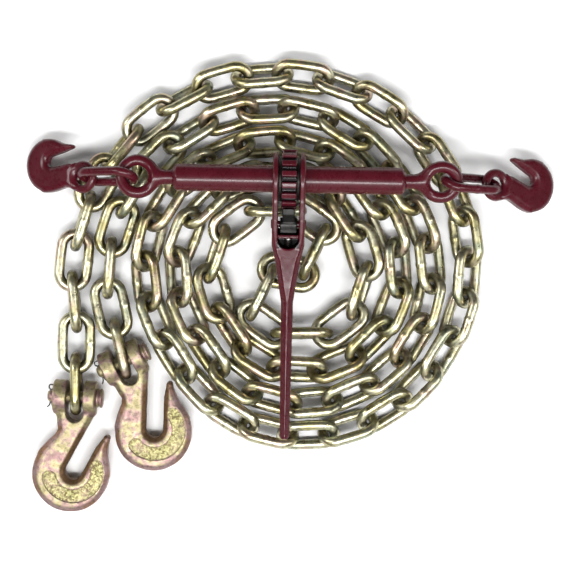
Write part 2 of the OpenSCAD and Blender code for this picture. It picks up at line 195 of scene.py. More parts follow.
def polygon_distance(x, y, corners):
    """Signed distance to a polygon, negative inside."""
    nearest = np.full(x.shape, 1e9)
    sign = np.ones(x.shape)
    for (ax, ay), (bx, by) in zip(corners, corners[1:] + corners[:1]):
        ex, ey = bx - ax, by - ay
        wx, wy = x - ax, y - ay
        along = np.clip((wx * ex + wy * ey) / (ex * ex + ey * ey), 0, 1)
        nearest = np.minimum(nearest, (wx - ex * along) ** 2 + (wy - ey * along) ** 2)
        above_a, above_b = y >= ay, y < by
        left = ex * wy > ey * wx
        sign = np.where((above_a & above_b & left) | (~above_a & ~above_b & ~left), -sign, sign)
    return sign * np.sqrt(nearest)


def circle_distance(x, y, centre, radius):
    """Signed distance to a disc."""
    return np.hypot(x - centre[0], y - centre[1]) - radius


def slot_distance(x, y, start, degrees, radius, length=200):
    """Signed distance to a round-ended slot that runs from start in a direction."""
    c, s = math.cos(math.radians(degrees)), math.sin(math.radians(degrees))
    along = np.clip((x - start[0]) * c + (y - start[1]) * s, 0, length)
    return np.hypot(x - start[0] - along * c, y - start[1] - along * s) - radius


def rod_distance(across_a, across_b, along, radius, low, high, edge):
    """Signed distance to a round rod with rounded rims."""
    side = np.hypot(across_a, across_b) - radius
    end = np.maximum(low - along, along - high)
    return smooth_max(side, end, edge)


def torus_distance(x, y, z, ring, bar):
    """Signed distance to a ring of round bar about Z, from its two radii."""
    return np.hypot(np.hypot(x, y) - ring, z) - bar


def plate_distance(outline, z, half, rim, drop, edge):
    """A plate whose face falls by drop over a bevel of width rim round its outline."""
    slope = drop / rim
    face = np.abs(z) - half
    bevel = (np.abs(z) - half + (outline + rim) * slope) / math.hypot(1, slope)
    return smooth_max(smooth_max(outline, face, edge), bevel, edge)


def forging(x, y, z, size):
    """Slow unevenness of a forged skin, in millimetres."""
    waves = np.sin(x * 0.21 + 1.3) * np.sin(y * 0.17 + 0.4) + np.sin(x * 0.09 - y * 0.13 + z * 0.2)
    return size * (waves + 0.5 * np.sin(x * 0.37 + z * 0.31) * np.sin(y * 0.41 - z * 0.23))


def near_surface(shape, axes, step):
    """The shape's distances on a grid: exact near the surface, rough elsewhere."""
    coarse = 4
    rough_axes = [axis[::coarse] for axis in axes]
    rough = shape(*np.meshgrid(*rough_axes, indexing="ij"))
    field = rough
    for k, axis in enumerate(axes):
        field = np.repeat(field, coarse, axis=k).take(np.arange(len(axis)), axis=k)
    near = np.abs(field) < coarse * step * 2.2
    x, y, z = (np.broadcast_to(axis.reshape([-1 if i == k else 1 for i in range(3)]), field.shape)[near]
               for k, axis in enumerate(axes))
    field[near] = shape(x, y, z)
    return field


def solid(shape, low, high, step):
    """Points and quads of the surface where shape(x, y, z) is zero, inside a box."""
    axes = [np.arange(a, b + step, step) for a, b in zip(low, high)]
    field = near_surface(shape, axes, step)
    inside = field < 0
    n = np.array(inside.shape)
    corners = [(i, j, k) for i in (0, 1) for j in (0, 1) for k in (0, 1)]
    count = sum(inside[i:n[0] - 1 + i, j:n[1] - 1 + j, k:n[2] - 1 + k].astype(np.int8)
                for i, j, k in corners)
    crossed = (count > 0) & (count < len(corners))
    number = np.full(crossed.shape, -1)
    number[crossed] = np.arange(crossed.sum())
    cells = np.argwhere(crossed)
    points = np.zeros((len(cells), 3))
    weight = np.zeros(len(cells))
    quads = []
    for axis in range(3):
        ahead = np.eye(3, dtype=int)[axis]
        beside = np.eye(3, dtype=int)[(axis + 1) % 3]
        above = np.eye(3, dtype=int)[(axis + 2) % 3]
        for u in (0, 1):
            for v in (0, 1):
                a = cells + u * beside + v * above
                fa = field[tuple(a.T)]
                fb = field[tuple((a + ahead).T)]
                cut = (fa < 0) != (fb < 0)
                share = np.where(cut, fa / np.where(cut, fa - fb, 1), 0)
                points += cut[:, None] * (a + share[:, None] * ahead)
                weight += cut
        first = inside.take(np.arange(n[axis] - 1), axis=axis)
        change = first != inside.take(np.arange(1, n[axis]), axis=axis)
        edge = np.argwhere(change)
        room = np.ones(len(edge), bool)
        for k in ((axis + 1) % 3, (axis + 2) % 3):
            room &= (edge[:, k] > 0) & (edge[:, k] < n[k] - 1)
        edge = edge[room]
        round_edge = [number[tuple((edge - o).T)] for o in (beside + above, above, 0 * above, beside)]
        quad = np.stack(round_edge, axis=1)
        outward = first[tuple(edge.T)]
        quads.append(np.where(outward[:, None], quad, quad[:, ::-1]))
    points = points / weight[:, None] * step + np.array([axis[0] for axis in axes])
    return settle(shape, points, step), np.concatenate(quads)


def settle(shape, points, step):
    """Moves points onto the surface along its slope."""
    reach = 0.05
    for _ in range(3):
        x, y, z = points.T
        distance = shape(x, y, z)
        slope = np.stack([shape(x + reach, y, z) - shape(x - reach, y, z),
                          shape(x, y + reach, z) - shape(x, y - reach, z),
                          shape(x, y, z + reach) - shape(x, y, z - reach)], axis=1) / (2 * reach)
        steepness = np.maximum((slope ** 2).sum(1), 0.25)
        move = slope * (distance / steepness)[:, None]
        length = np.linalg.norm(move, axis=1)[:, None]
        points = points - move * np.minimum(1, 0.7 * step / np.maximum(length, 1e-9))
    return points


# ---- materials -------------------------------------------------------------


class Finish:
    """A procedural material, with short names for the nodes that it is built from."""

    def __init__(self, name, **constants):
        """Starts a material, with constants for the shader's own sockets."""
        self.material = bpy.data.materials.new(name)
        self.material.use_nodes = True
        self.tree = self.material.node_tree
        self.shader = self.tree.nodes["Principled BSDF"]
        for socket, value in constants.items():
            self.shader.inputs[socket.replace("_", " ")].default_value = value
        self.place = self.tree.nodes.new("ShaderNodeTexCoord").outputs["Object"]

    def link(self, output, target):
        """Joins an output to an input."""
        self.tree.links.new(output, target)

    def noise(self, scale, detail=3.0, rough=0.55, stretch=None, offset=0.0):
        """Noise with features of about 1 / scale metres, optionally stretched."""
        node = self.tree.nodes.new("ShaderNodeTexNoise")
        node.inputs["Scale"].default_value = scale
        node.inputs["Detail"].default_value = detail
        node.inputs["Roughness"].default_value = rough
        mapping = self.tree.nodes.new("ShaderNodeMapping")
        mapping.inputs["Location"].default_value = (offset, offset, offset)
        mapping.inputs["Scale"].default_value = stretch or (1, 1, 1)
        self.link(self.place, mapping.inputs["Vector"])
        self.link(mapping.outputs["Vector"], node.inputs["Vector"])
        return node.outputs["Fac"]

    def tones(self):
        """The three values of each point's tone."""
        node = self.tree.nodes.new("ShaderNodeAttribute")
        node.attribute_name = "tone"
        split = self.tree.nodes.new("ShaderNodeSeparateColor")
        self.link(node.outputs["Color"], split.inputs["Color"])
        return split.outputs

    def ramp(self, source, stops):
        """Colours or greys at places along a 0 to 1 value."""
        node = self.tree.nodes.new("ShaderNodeValToRGB")
        for _ in range(len(stops) - 2):
            node.color_ramp.elements.new(0.5)
        for element, (at, colour) in zip(node.color_ramp.elements, stops):
            element.position = at
            element.color = (*colour, 1) if isinstance(colour, tuple) else (colour, colour, colour, 1)
        self.link(source, node.inputs["Fac"])
        return node.outputs["Color"]

    def mix(self, share, first, second, way="MIX"):
        """Mixes two colour outputs by a share, which is a number or an output."""
        node = self.tree.nodes.new("ShaderNodeMix")
        node.data_type = "RGBA"
        node.blend_type = way
        for value, index in ((share, 0), (first, 6), (second, 7)):
            if isinstance(value, bpy.types.NodeSocket):
                self.link(value, node.inputs[index])
            else:
                node.inputs[index].default_value = (*value, 1) if isinstance(value, tuple) else value
        return node.outputs[2]

    def math(self, way, first, second):
        """Works out one value from two numbers or outputs."""
        node = self.tree.nodes.new("ShaderNodeMath")
        node.operation = way
        for value, index in ((first, 0), (second, 1)):
            if isinstance(value, bpy.types.NodeSocket):
                self.link(value, node.inputs[index])
            else:
                node.inputs[index].default_value = value
        return node.outputs[0]

    def bump(self, height, depth, before=None):
        """Raises the surface by a height output times depth, in metres, on top of an earlier bump."""
        node = self.tree.nodes.new("ShaderNodeBump")
        node.inputs["Strength"].default_value = 1.0
        node.inputs["Distance"].default_value = depth
        self.link(height, node.inputs["Height"])
        if before is not None:
            self.link(before, node.inputs["Normal"])
        return node.outputs["Normal"]

    def finish(self, colour, roughness, normal):
        """Joins the three outputs to the shader and gives the material."""
        self.link(colour, self.shader.inputs["Base Color"])
        self.link(roughness, self.shader.inputs["Roughness"])
        self.link(normal, self.shader.inputs["Normal"])
        return self.material


def chain_zinc():
    """Yellow-chromated zinc: silver, with olive, pink and green patches, fine pits and painted shade down the
    sides of the bar.
    """
    f = Finish("chain_zinc", Metallic=1.0)
    first, second, painted_shade = f.tones()
    patches = f.math("ADD", f.noise(38, 4), f.math("MULTIPLY", f.math("SUBTRACT", first, 0.5), 0.3))
    base = f.ramp(patches, [(0.3, (0.40, 0.35, 0.16)), (0.45, (0.55, 0.51, 0.30)),
                            (0.6, (0.66, 0.64, 0.46)), (0.75, (0.46, 0.41, 0.21))])
    rosy = f.math("ADD", f.noise(52, 3, offset=3.1), f.math("MULTIPLY", second, 0.15))
    colour = f.mix(f.ramp(rosy, [(0.6, 0.0), (0.75, 0.6)]), base, (0.62, 0.42, 0.36))
    green = f.math("SUBTRACT", f.noise(44, 3, offset=7.7), f.math("MULTIPLY", second, 0.12))
    colour = f.mix(f.ramp(green, [(0.48, 0.0), (0.64, 0.55)]), colour, (0.38, 0.46, 0.36))
    stain = f.ramp(f.noise(160, 5, offset=1.7), [(0.3, 0.45), (0.48, 1.0)])
    colour = f.mix(1.0, colour, stain, "MULTIPLY")
    # painted shade: the third tone darkens the bar's sides towards a dark olive brown
    colour = f.mix(painted_shade, colour, f.mix(1.0, colour, (0.14, 0.12, 0.075), "MULTIPLY"))
    rough = f.ramp(f.noise(120, 4, offset=5.0), [(0.3, 0.26), (0.7, 0.42)])
    normal = f.bump(f.noise(900, 3), 0.00004)
    normal = f.bump(f.noise(170, 2, offset=9.0), 0.0002, normal)
    return f.finish(colour, rough, normal)


def clevis_zinc():
    """Heavier yellow chromate on the clevis hooks: straw and pink faces, mauve rims, and dark brown painted shade
    on the bevels into the throats.
    """
    f = Finish("clevis_zinc", Metallic=0.8)
    rim, throat, pad = f.tones()
    face = f.ramp(f.noise(75, 4), [(0.36, (0.29, 0.25, 0.13)), (0.47, (0.36, 0.31, 0.18)),
                                   (0.53, (0.34, 0.25, 0.20)), (0.62, (0.29, 0.18, 0.17))])
    edge = f.ramp(f.noise(30, 3, offset=4.2), [(0.4, (0.27, 0.15, 0.08)), (0.52, (0.31, 0.20, 0.18)),
                                               (0.66, (0.35, 0.25, 0.25))])
    colour = f.mix(rim, face, edge)
    # painted shade: the second tone darkens the bevel into the throat to dark brown
    colour = f.mix(throat, colour, (0.17, 0.10, 0.05))
    pitted = f.ramp(f.noise(330, 3, offset=6.3), [(0.42, (0.15, 0.12, 0.05)), (0.56, (0.37, 0.35, 0.16))])
    colour = f.mix(pad, colour, pitted)
    stain = f.ramp(f.noise(220, 5, offset=1.1), [(0.34, 0.62), (0.5, 1.0)])
    colour = f.mix(1.0, colour, stain, "MULTIPLY")
    rough = f.ramp(f.noise(140, 4, offset=5.0), [(0.3, 0.4), (0.7, 0.58)])
    normal = f.bump(f.noise(1100, 3), 0.00008)
    normal = f.bump(f.noise(300, 3, offset=2.0), 0.00035, normal)
    lumps = f.math("MULTIPLY", f.noise(210, 2, offset=8.2), pad)
    normal = f.bump(lumps, 0.0014, normal)
    return f.finish(colour, rough, normal)


def red_paint():
    """Dark red gloss enamel, slightly wavy, over a forged skin, with near-black painted shade where its tone says.
    """
    f = Finish("red_paint", Metallic=0.0, Coat_Weight=0.2, Coat_Roughness=0.14, Specular_IOR_Level=0.25)
    painted_shade = f.tones()[0]
    colour = f.ramp(f.noise(70, 4), [(0.3, (0.055, 0.003, 0.007)), (0.7, (0.076, 0.006, 0.013))])
    # painted shade: the first tone turns the paint near black in the handle's pocket and between the gear's teeth
    colour = f.mix(painted_shade, colour, (0.006, 0.002, 0.003))
    rough = f.ramp(f.noise(160, 4, offset=5.0), [(0.3, 0.24), (0.7, 0.34)])
    normal = f.bump(f.noise(420, 2), 0.00002)
    normal = f.bump(f.noise(60, 2, offset=9.0), 0.00025, normal)
    return f.finish(colour, rough, normal)


def black_steel():
    """Blackened steel with rubbed grey patches."""
    f = Finish("black_steel", Metallic=0.6)
    colour = f.ramp(f.noise(120, 5), [(0.35, (0.010, 0.010, 0.010)), (0.7, (0.035, 0.034, 0.032))])
    worn = f.ramp(f.noise(400, 4, offset=2.0), [(0.6, 0.0), (0.75, 0.3)])
    colour = f.mix(worn, colour, (0.12, 0.11, 0.10))
    rough = f.ramp(f.noise(200, 4, offset=5.0), [(0.3, 0.32), (0.7, 0.5)])
    return f.finish(colour, rough, f.bump(f.noise(700, 3), 0.00008))


def plain_steel():
    """Bright turned steel with fine lines round the X axis and a film of oil."""
    f = Finish("plain_steel", Metallic=1.0)
    colour = f.ramp(f.noise(90, 4), [(0.3, (0.36, 0.35, 0.33)), (0.7, (0.56, 0.55, 0.53))])
    rough = f.ramp(f.noise(60, 4, stretch=(40, 1, 1)), [(0.3, 0.26), (0.7, 0.44)])
    return f.finish(colour, rough, f.bump(f.noise(50, 2, stretch=(60, 1, 1), offset=4.0), 0.00006))


def shade_dark_steel():
    """Near-black steel, painted shade for parts that sit in shadow."""
    f = Finish("shade_dark_steel", Metallic=0.8)
    colour = f.ramp(f.noise(200, 4), [(0.35, (0.012, 0.010, 0.009)), (0.7, (0.05, 0.045, 0.04))])
    rough = f.ramp(f.noise(160, 4, offset=5.0), [(0.3, 0.35), (0.7, 0.55)])
    return f.finish(colour, rough, f.bump(f.noise(500, 3), 0.00005))


CHAIN, CLEVIS, RED, BLACK = chain_zinc(), clevis_zinc(), red_paint(), black_steel()
STEEL, SHADE_DARK_STEEL = plain_steel(), shade_dark_steel()

# ---- chain links -----------------------------------------------------------


def oval_rings(node):
    """The links of a node, as (centre, long axis, wide axis, normal) in millimetres."""
    mesh = frame["nodes"][node].data
    points = np.array([v.co for v in mesh.vertices]).reshape(-1, 3) / MM
    mesh.calc_loop_triangles()
    triangles = np.array([t.vertices for t in mesh.loop_triangles])
    _, same = np.unique(np.round(points, 2), axis=0, return_inverse=True)
    same = same.ravel()
    group = np.arange(same.max() + 1)
    ends = same[triangles]
    while True:
        low = group[ends].min(axis=1)
        joined = group.copy()
        for k in range(3):
            np.minimum.at(joined, ends[:, k], low)
        joined = joined[joined]
        if (joined == group).all():
            break
        group = joined
    rings = []
    for root in np.unique(group):
        corners = points[triangles[group[ends[:, 0]] == root]]
        first_edge, second_edge = corners[:, 1] - corners[:, 0], corners[:, 2] - corners[:, 0]
        area = np.linalg.norm(np.cross(first_edge, second_edge), axis=1)
        middle = corners.mean(axis=1)
        centre = (middle * area[:, None]).sum(0) / area.sum()
        spread = (middle - centre).T @ ((middle - centre) * area[:, None])
        _, axes = np.linalg.eigh(spread)
        long_axis, wide_axis = axes[:, 2], axes[:, 1]
        rings.append((centre, long_axis, wide_axis, np.cross(long_axis, wide_axis)))
    return rings


def link_mesh(length, width, bar, weld_side):
    """A welded oval link with bowed sides and a weld bead on one of them.

    Gives its points, its quads and the direction in which the bar faces at each point.
    """
    rings, sides = 96, 24
    bend = (width - bar) / 2
    straight = (length - width) / 2
    whole = 2 * math.pi * bend + 4 * straight
    bead_height, bead_width, bow = 0.075, 2.4, 0.35
    path, radius, outward = [], [], []
    for along in np.arange(rings) / rings * whole:
        if along < 2 * straight:
            x, y, out = along - straight, -bend, (0, -1)
        elif along < 2 * straight + math.pi * bend:
            turn = (along - 2 * straight) / bend - math.pi / 2
            out = (math.cos(turn), math.sin(turn))
            x, y = straight + bend * out[0], bend * out[1]
        elif along < 4 * straight + math.pi * bend:
            x, y, out = straight - (along - 2 * straight - math.pi * bend), bend, (0, 1)
        else:
            turn = (along - 4 * straight - math.pi * bend) / bend + math.pi / 2
            out = (math.cos(turn), math.sin(turn))
            x, y = -straight + bend * out[0], bend * out[1]
        on_side = max(0, 1 - (x / straight) ** 2) if abs(x) < straight else 0
        bead = math.exp(-(x / bead_width) ** 2) if y * weld_side > bend * 0.9 else 0
        path.append((x, y + math.copysign(bow * on_side, y), 0))
        radius.append(bar / 2 * (1 + bead_height * bead))
        outward.append((out[0], out[1], 0))
    path, outward = np.array(path), np.array(outward)
    turn = np.arange(sides) * 2 * math.pi / sides
    across = outward[:, None] * np.cos(turn)[None, :, None]
    up = np.array([0, 0, 1.0])[None, None] * np.sin(turn)[None, :, None]
    outward = across + up
    points = path[:, None] + np.array(radius)[:, None, None] * outward
    return points.reshape(-1, 3), ring_quads(rings, sides, True)[:, ::-1], outward.reshape(-1, 3)


CHAIN_BAR, CHAIN_LEN, CHAIN_WID = 13, 81, 47


def chain_links():
    """Every chain node's links, with the weld of each link on its upper or inner side in turn.

    The third tone is painted shade down the sides of the bar: the further the surface turns away from straight up
    at rest, the darker it is.
    """
    unshaded_up, shaded_up = 0.7, 0.05
    meshes = {side: link_mesh(CHAIN_LEN, CHAIN_WID, CHAIN_BAR, side) for side in (-1, 1)}
    random = np.random.default_rng(7)
    for node in sorted(n for n in frame["nodes"] if n.startswith(("coil_chain", "tail_link"))):
        parts, tones = [], []
        for k, (centre, long_axis, wide_axis, normal) in enumerate(oval_rings(node)):
            side = 1 if wide_axis[2] > 0 else -1
            points, quads, outward = meshes[side if k % 3 else -side]
            matrix = place(centre, long_axis, wide_axis, normal)
            parts.append((points, quads, matrix))
            # painted shade: the tone grows as the bar's surface turns away from straight up
            upward = outward @ matrix[2, :3] / MM
            painted_shade = np.clip((unshaded_up - upward) / (unshaded_up - shaded_up), 0, 1)
            own = np.tile(random.random(2), (len(points), 1))
            tones.append(np.column_stack([own, painted_shade]))
        piece(node + ".forged", parts, CHAIN, node, np.concatenate(tones))


# ---- clevis grab hooks -----------------------------------------------------

BOWL, BOWL_R = (-2.5, -98), 48.5
THROAT, THROAT_DEG, THROAT_R = (1, -94), 64, 10.75
EAR_R, EAR_LEFT, EAR_RIGHT, EAR_GAP, GAP_BOTTOM = 21.5, 28, 25.5, 22, 31
PIN_R, PIN_OUT, HEAD_R, HEAD_T = 7.5, 8, 12, 8.5
HOOK_HALF = 12


def clevis_frame(tag):
    """The hook's own frame: pin along X, body towards -Y, face along Z."""
    x_axis = -np.array(JOINTS[f"clevis_hook_{tag}_lift"]["axis"])
    z_axis = np.array(MOUNTS[f"clevis_hook_{tag}_throat"]["axis"])
    return place(joint_point(f"clevis_hook_{tag}_lift"), x_axis, np.cross(z_axis, x_axis), z_axis)


def clevis_outline(x, y):
    """The hook's bowl, shank and finger, less its throat."""
    shank = [(-24, -14), (24, -14), (23, -26), (10, -90), (-40, -72), (-31, -58), (-23.5, -48),
             (-20.8, -41), (-22.4, -30)]
    finger = [(-6, -110), (45.9, -100), (45.6, -86), (43.4, -74), (43.4, -62), (45.0, -52), (37.6, -49.6)]
    body = smooth_min(circle_distance(x, y, BOWL, BOWL_R), polygon_distance(x, y, shank), 10)
    body = smooth_min(body, polygon_distance(x, y, finger), 3)
    body = np.minimum(body, circle_distance(x, y, (41.4, -50.8), 4.2))
    return smooth_max(body, -slot_distance(x, y, THROAT, THROAT_DEG, THROAT_R), 1.5)


def clevis_pad(x, y):
    """The crescent recess round the bottom of the throat."""
    ring, half_width = 31, 8.2
    start, end = math.radians(196), math.radians(374)
    angle = np.arctan2(y - THROAT[1], x - THROAT[0]) % (2 * math.pi)
    angle = np.where(angle < math.radians(95), angle + 2 * math.pi, angle)
    nearest = np.clip(angle, start, end)
    middle_x = THROAT[0] + ring * np.cos(nearest)
    middle_y = THROAT[1] + ring * np.sin(nearest)
    return np.hypot(x - middle_x, y - middle_y) - half_width


def clevis_shape(x, y, z):
    """The forged hook: bevelled plate, sunk pads, round ears, the gap between them and the pin's bore."""
    rim, drop, pad_depth = 6.5, 5.0, 1.8
    plate = plate_distance(clevis_outline(x, y), z, HOOK_HALF, rim, drop, 1.6)
    pad = smooth_max(clevis_pad(x, y), HOOK_HALF - pad_depth - np.abs(z), 0.8)
    plate = smooth_max(plate, -pad, 1.0)
    boss = rod_distance(y, z, x, EAR_R, -EAR_LEFT, EAR_RIGHT, 2.5)
    body = smooth_min(plate, boss, 6)
    gap_round = EAR_GAP / 2
    gap = np.where(y > -GAP_BOTTOM + gap_round, np.abs(x) - gap_round,
                   np.hypot(x, y + GAP_BOTTOM - gap_round) - gap_round)
    body = smooth_max(body, -gap, 1.5)
    body = smooth_max(body, PIN_R + 0.1 - np.hypot(y, z), 0.8)
    return body + forging(x, y, z, 0.09)


def clevis_tones(points):
    """How much of the rim's, the throat's and the pad's colour each point has."""
    x, y, z = points.T
    rim_in, rim_out, below = 6.8, 5.0, 0.5
    outline = clevis_outline(x, y)
    slot = slot_distance(x, y, THROAT, THROAT_DEG, THROAT_R)
    rim = np.clip((outline + rim_in) / (rim_in - rim_out), 0, 1) * np.clip((-34 - y) / 4, 0, 1)
    # the throat tone marks the bevel into the throat, where the painted shade goes
    throat = np.clip((rim_in - slot) / (rim_in - rim_out), 0, 1) * np.clip((-40 - y) / 4, 0, 1)
    pad = np.clip(-clevis_pad(x, y) / below, 0, 1) * np.clip((np.abs(z) - HOOK_HALF + 2.2) / below, 0, 1)
    return np.stack([rim * (1 - throat), throat, pad], axis=1)


def clevis_pin():
    """The clevis pin: a chamfered end, and a head with a groove round it."""
    chamfer, gap, groove = 2.2, 0.3, 1.4
    end, head, cap = -EAR_LEFT - PIN_OUT, EAR_RIGHT + gap, EAR_RIGHT + HEAD_T + gap
    outline = [(end, 0), (end, PIN_R - chamfer), (end + 3, PIN_R), (head, PIN_R), (head, HEAD_R),
               (head + 2.9, HEAD_R), (head + 3.5, HEAD_R - groove), (head + 4.3, HEAD_R - groove),
               (head + 4.9, HEAD_R), (cap - 1.3, HEAD_R), (cap, HEAD_R - 3), (cap, 0)]
    return lathe(rounded(outline, 0.8))


def clevis_hooks():
    """Both clevis hooks, each with its pin and its cotter."""
    shape = solid(clevis_shape, (-54, -150, -24), (50, 25, 24), 0.9)
    tones = clevis_tones(shape[0])
    for tag in "ab":
        matrix = clevis_frame(tag)
        hook, pin, split_pin = f"clevis_hook_{tag}", f"clevis_pin_{tag}", f"cotter_pin_{tag}"
        piece(hook + ".forged", [(*shape, matrix)], CLEVIS, hook, tones)
        piece(pin + ".turned", [(*clevis_pin(), matrix)], CLEVIS, pin)
        piece(split_pin + ".bent", [(*cotter(), matrix)], BLACK, split_pin)


def cotter():
    """A split pin: a round eye over the clevis pin and two legs through it, spread at their ends."""
    wire, eye, half_gap, leg_out = 0.85, 3.0, 0.9, 7
    x = -EAR_LEFT - PIN_OUT / 2
    top = PIN_R + 1
    path = []
    for side in (-1, 1):
        leg = [(x + side * half_gap, y, 0) for y in np.linspace(-PIN_R - 1, top, 8)]
        spread = [(x + side * (half_gap + 0.09 * s * s), -PIN_R - 1 - s, side * 0.12 * s * s)
                  for s in np.linspace(0, leg_out, 9)[1:]]
        half = spread[::-1] + leg
        bend = [(x + side * (half_gap + (eye - half_gap) * math.sin(t)),
                 top + eye * (1 - math.cos(t)) * 0.95, 0) for t in np.linspace(0, math.pi, 12)[1:-1]]
        path.append(half + bend)
    loop = path[0] + [(x, top + 1.9 * eye, 0)] + path[1][::-1]
    return tube(np.array(loop), wire, 12)


# ---- binder ----------------------------------------------------------------

CENTRE = joint_point("barrel_spin")
BARREL_LEN, BARREL_R, BARREL_LIP, SCREW_R, NUT_R, FIT = 284, 16.75, 3, 10.5, 13, 0.08
EYE_R, EYE_BAR = 20, 14
END_LINK_LEN, END_LINK_WID, END_LINK_BAR = 84, 41.2, 11.2
BINDER = place(CENTRE, (1, 0, 0), (0, 1, 0), (0, 0, 1))
PAWL = joint_point("pawl_rock")
DROOP = math.atan2(CENTRE[2] - PAWL[2], CENTRE[1] - PAWL[1])
HANDLE = place(CENTRE, (1, 0, 0), (0, math.cos(DROOP), math.sin(DROOP)),
               (0, -math.sin(DROOP), math.cos(DROOP)))
PAWL_Y = float(np.linalg.norm(PAWL - CENTRE))
YOKE_W, EAR_T, YOKE_R, HANDLE_LEN = 40, 7, 33.6, 325
SLOT_BOTTOM, WEB_Y, WEB_T = 85, 70, 4
EAR_IN = YOKE_W / 2 - EAR_T
GEAR_HALF, GEAR_TIP = 9, 37
PAWL_TAIL = (11, 5)


def barrel():
    """The barrel: a tube with chamfered, slightly necked ends."""
    half, wall, neck = BARREL_LEN / 2, NUT_R, SCREW_R + FIT
    chamfer, lip = 4, BARREL_LIP
    outside = [(-half, neck), (-half, BARREL_R - chamfer), (-half + chamfer, BARREL_R),
               (half - chamfer, BARREL_R), (half, BARREL_R - chamfer), (half, neck), (half - lip, neck),
               (half - lip, wall), (-half + lip, wall), (-half + lip, neck), (-half, neck)]
    body = lathe(rounded(outside, 1.5), 96)
    piece("barrel_tube.turned", [(*body, BINDER)], RED, "barrel_tube")


def gear_shape(x, y, z):
    """The ratchet gear about X: square teeth, round rims."""
    teeth, root, tooth_w = 16, 31, 7
    angle = np.arctan2(z, y) - math.pi / 2
    pitch = 2 * math.pi / teeth
    turned = (angle / pitch) % 1 * pitch - pitch / 2
    radius = np.hypot(y, z)
    tooth = smooth_max(np.abs(radius * np.sin(turned)) - tooth_w / 2, radius - GEAR_TIP, 1.0)
    body = smooth_min(radius - root, tooth, 1.2)
    body = smooth_max(body, np.abs(x) - GEAR_HALF, 1.2)
    return smooth_max(body, BARREL_R - radius, 0.5)


def screw_mesh(hand, inner, outer):
    """A screw thread about X: pitch 5 mm, right- or left-handed."""
    pitch, depth, sides, steps = 5, 1.5, 48, 9
    x = np.arange(inner, outer, pitch / steps)
    turn = np.arange(sides) / sides
    phase = (x[:, None] / pitch - hand * turn[None]) % 1
    height = np.clip(1.6 - np.abs(phase - 0.5) * 4, 0, 1)
    fade = np.clip(np.minimum(x - inner, outer - x) / 2.5, 0, 1)[:, None]
    radius = SCREW_R - depth + depth * height * fade - (1 - fade) * 0.6
    points = np.zeros((len(x), sides, 3))
    points[:, :, 0] = x[:, None]
    points[:, :, 1] = radius * np.cos(turn * 2 * math.pi)
    points[:, :, 2] = radius * np.sin(turn * 2 * math.pi)
    ends = [np.tile([[x[k], 0, 0]], (sides, 1)) for k in (0, -1)]
    points = np.concatenate([ends[0], points.reshape(-1, 3), ends[1]])
    return points, ring_quads(len(x) + 2, sides, False)


def eye_shape(x, y, z):
    """The eyebolt's forged ring and shank, with the ring's middle at the origin."""
    ring = torus_distance(x, y, z, EYE_R, EYE_BAR / 2)
    shank_end = EYE_R + 24
    shank = rod_distance(y, z, x, 9.2, -shank_end, -EYE_R, 1.5)
    body = smooth_min(ring, shank, 9)
    hole = EYE_R - EYE_BAR / 2 - np.hypot(x, y)
    return smooth_max(body, hole, 0.6) + forging(x, y, z, 0.08)


def eyebolts():
    """Both eyebolts: a forged eye and the screw that runs into the barrel."""
    eye = solid(eye_shape, (-46, -30, -15), (29, 30, 15), 0.8)
    for side, name, roll in ((-1, "left", 0), (1, "right", 25)):
        eye_x = abs(joint_point(f"link_{name}_lift")[0] - CENTRE[0]) - EYE_R
        c, s = math.cos(math.radians(roll)), math.sin(math.radians(roll))
        middle = CENTRE + np.array([side * eye_x, 0, 0])
        turned = place(middle, (side, 0, 0), (0, c, s), (0, -s, c))
        straight = place(CENTRE, (side, 0, 0), (0, 1, 0), (0, 0, 1))
        screw = screw_mesh(side, 10, eye_x - EYE_R - 22)
        node = f"eyebolt_{name}"
        piece(node + ".forged", [(*eye, turned), (*screw, straight)], RED, node)


def binder_links():
    """The two end links, bent from round bar and welded."""
    for name in ("left", "right"):
        node = f"binder_link_{name}"
        centre, long_axis, wide_axis, normal = oval_rings(node)[0]
        points, quads, _ = link_mesh(END_LINK_LEN, END_LINK_WID, END_LINK_BAR, 1)
        matrix = place(centre, long_axis, wide_axis, normal)
        piece(node + ".forged", [(points, quads, matrix)], RED, node)


HOOK_EYE_R, HOOK_EYE_BAR, HOOK_T = 15, 10.4, 16
SLOT_END, SLOT_R = (48.2, 20.2), 7.3


def binder_hook_shape(x, y, z):
    """A binder grab hook, its eye at the origin and its back along X."""
    back = circle_distance(x, y, (54.5, 16), 33.5)
    shank = polygon_distance(x, y, [(12, 17.5), (30, 14), (50, 14), (60, -16), (40, -14.2), (24, -12.4),
                                    (12, -14.5)])
    finger = polygon_distance(x, y, [(19.6, 41.3), (62, 48.8), (66, 30), (48, 26), (18.5, 35.1)])
    tip = circle_distance(x, y, (19, 38.2), 3.2)
    outline = smooth_min(smooth_min(back, shank, 8), np.minimum(finger, tip), 3)
    slot_dir = math.degrees(math.atan2(34.9 - 27.5, 20 - 48.2))
    slot = slot_distance(x, y, SLOT_END, slot_dir, SLOT_R)
    mouth = polygon_distance(x, y, [(48.2, 12.9), (48.2, 27.5), (20, 34.9), (8, 40), (8, 20.4),
                                    (22, 17.2)])
    slot = np.minimum(slot + 0.3, mouth)
    outline = smooth_max(outline, -slot, 2)
    plate = plate_distance(outline, z, HOOK_T / 2, 4.5, 3.2, 2.2)
    plate = smooth_max(plate, HOOK_EYE_R - np.hypot(x, y), 2)
    ring = torus_distance(x, y, z, HOOK_EYE_R, HOOK_EYE_BAR / 2)
    body = smooth_min(plate, ring, 4)
    hole = HOOK_EYE_R - HOOK_EYE_BAR / 2 - np.hypot(x, y)
    return smooth_max(body, hole, 0.5) + forging(x, y, z, 0.08)


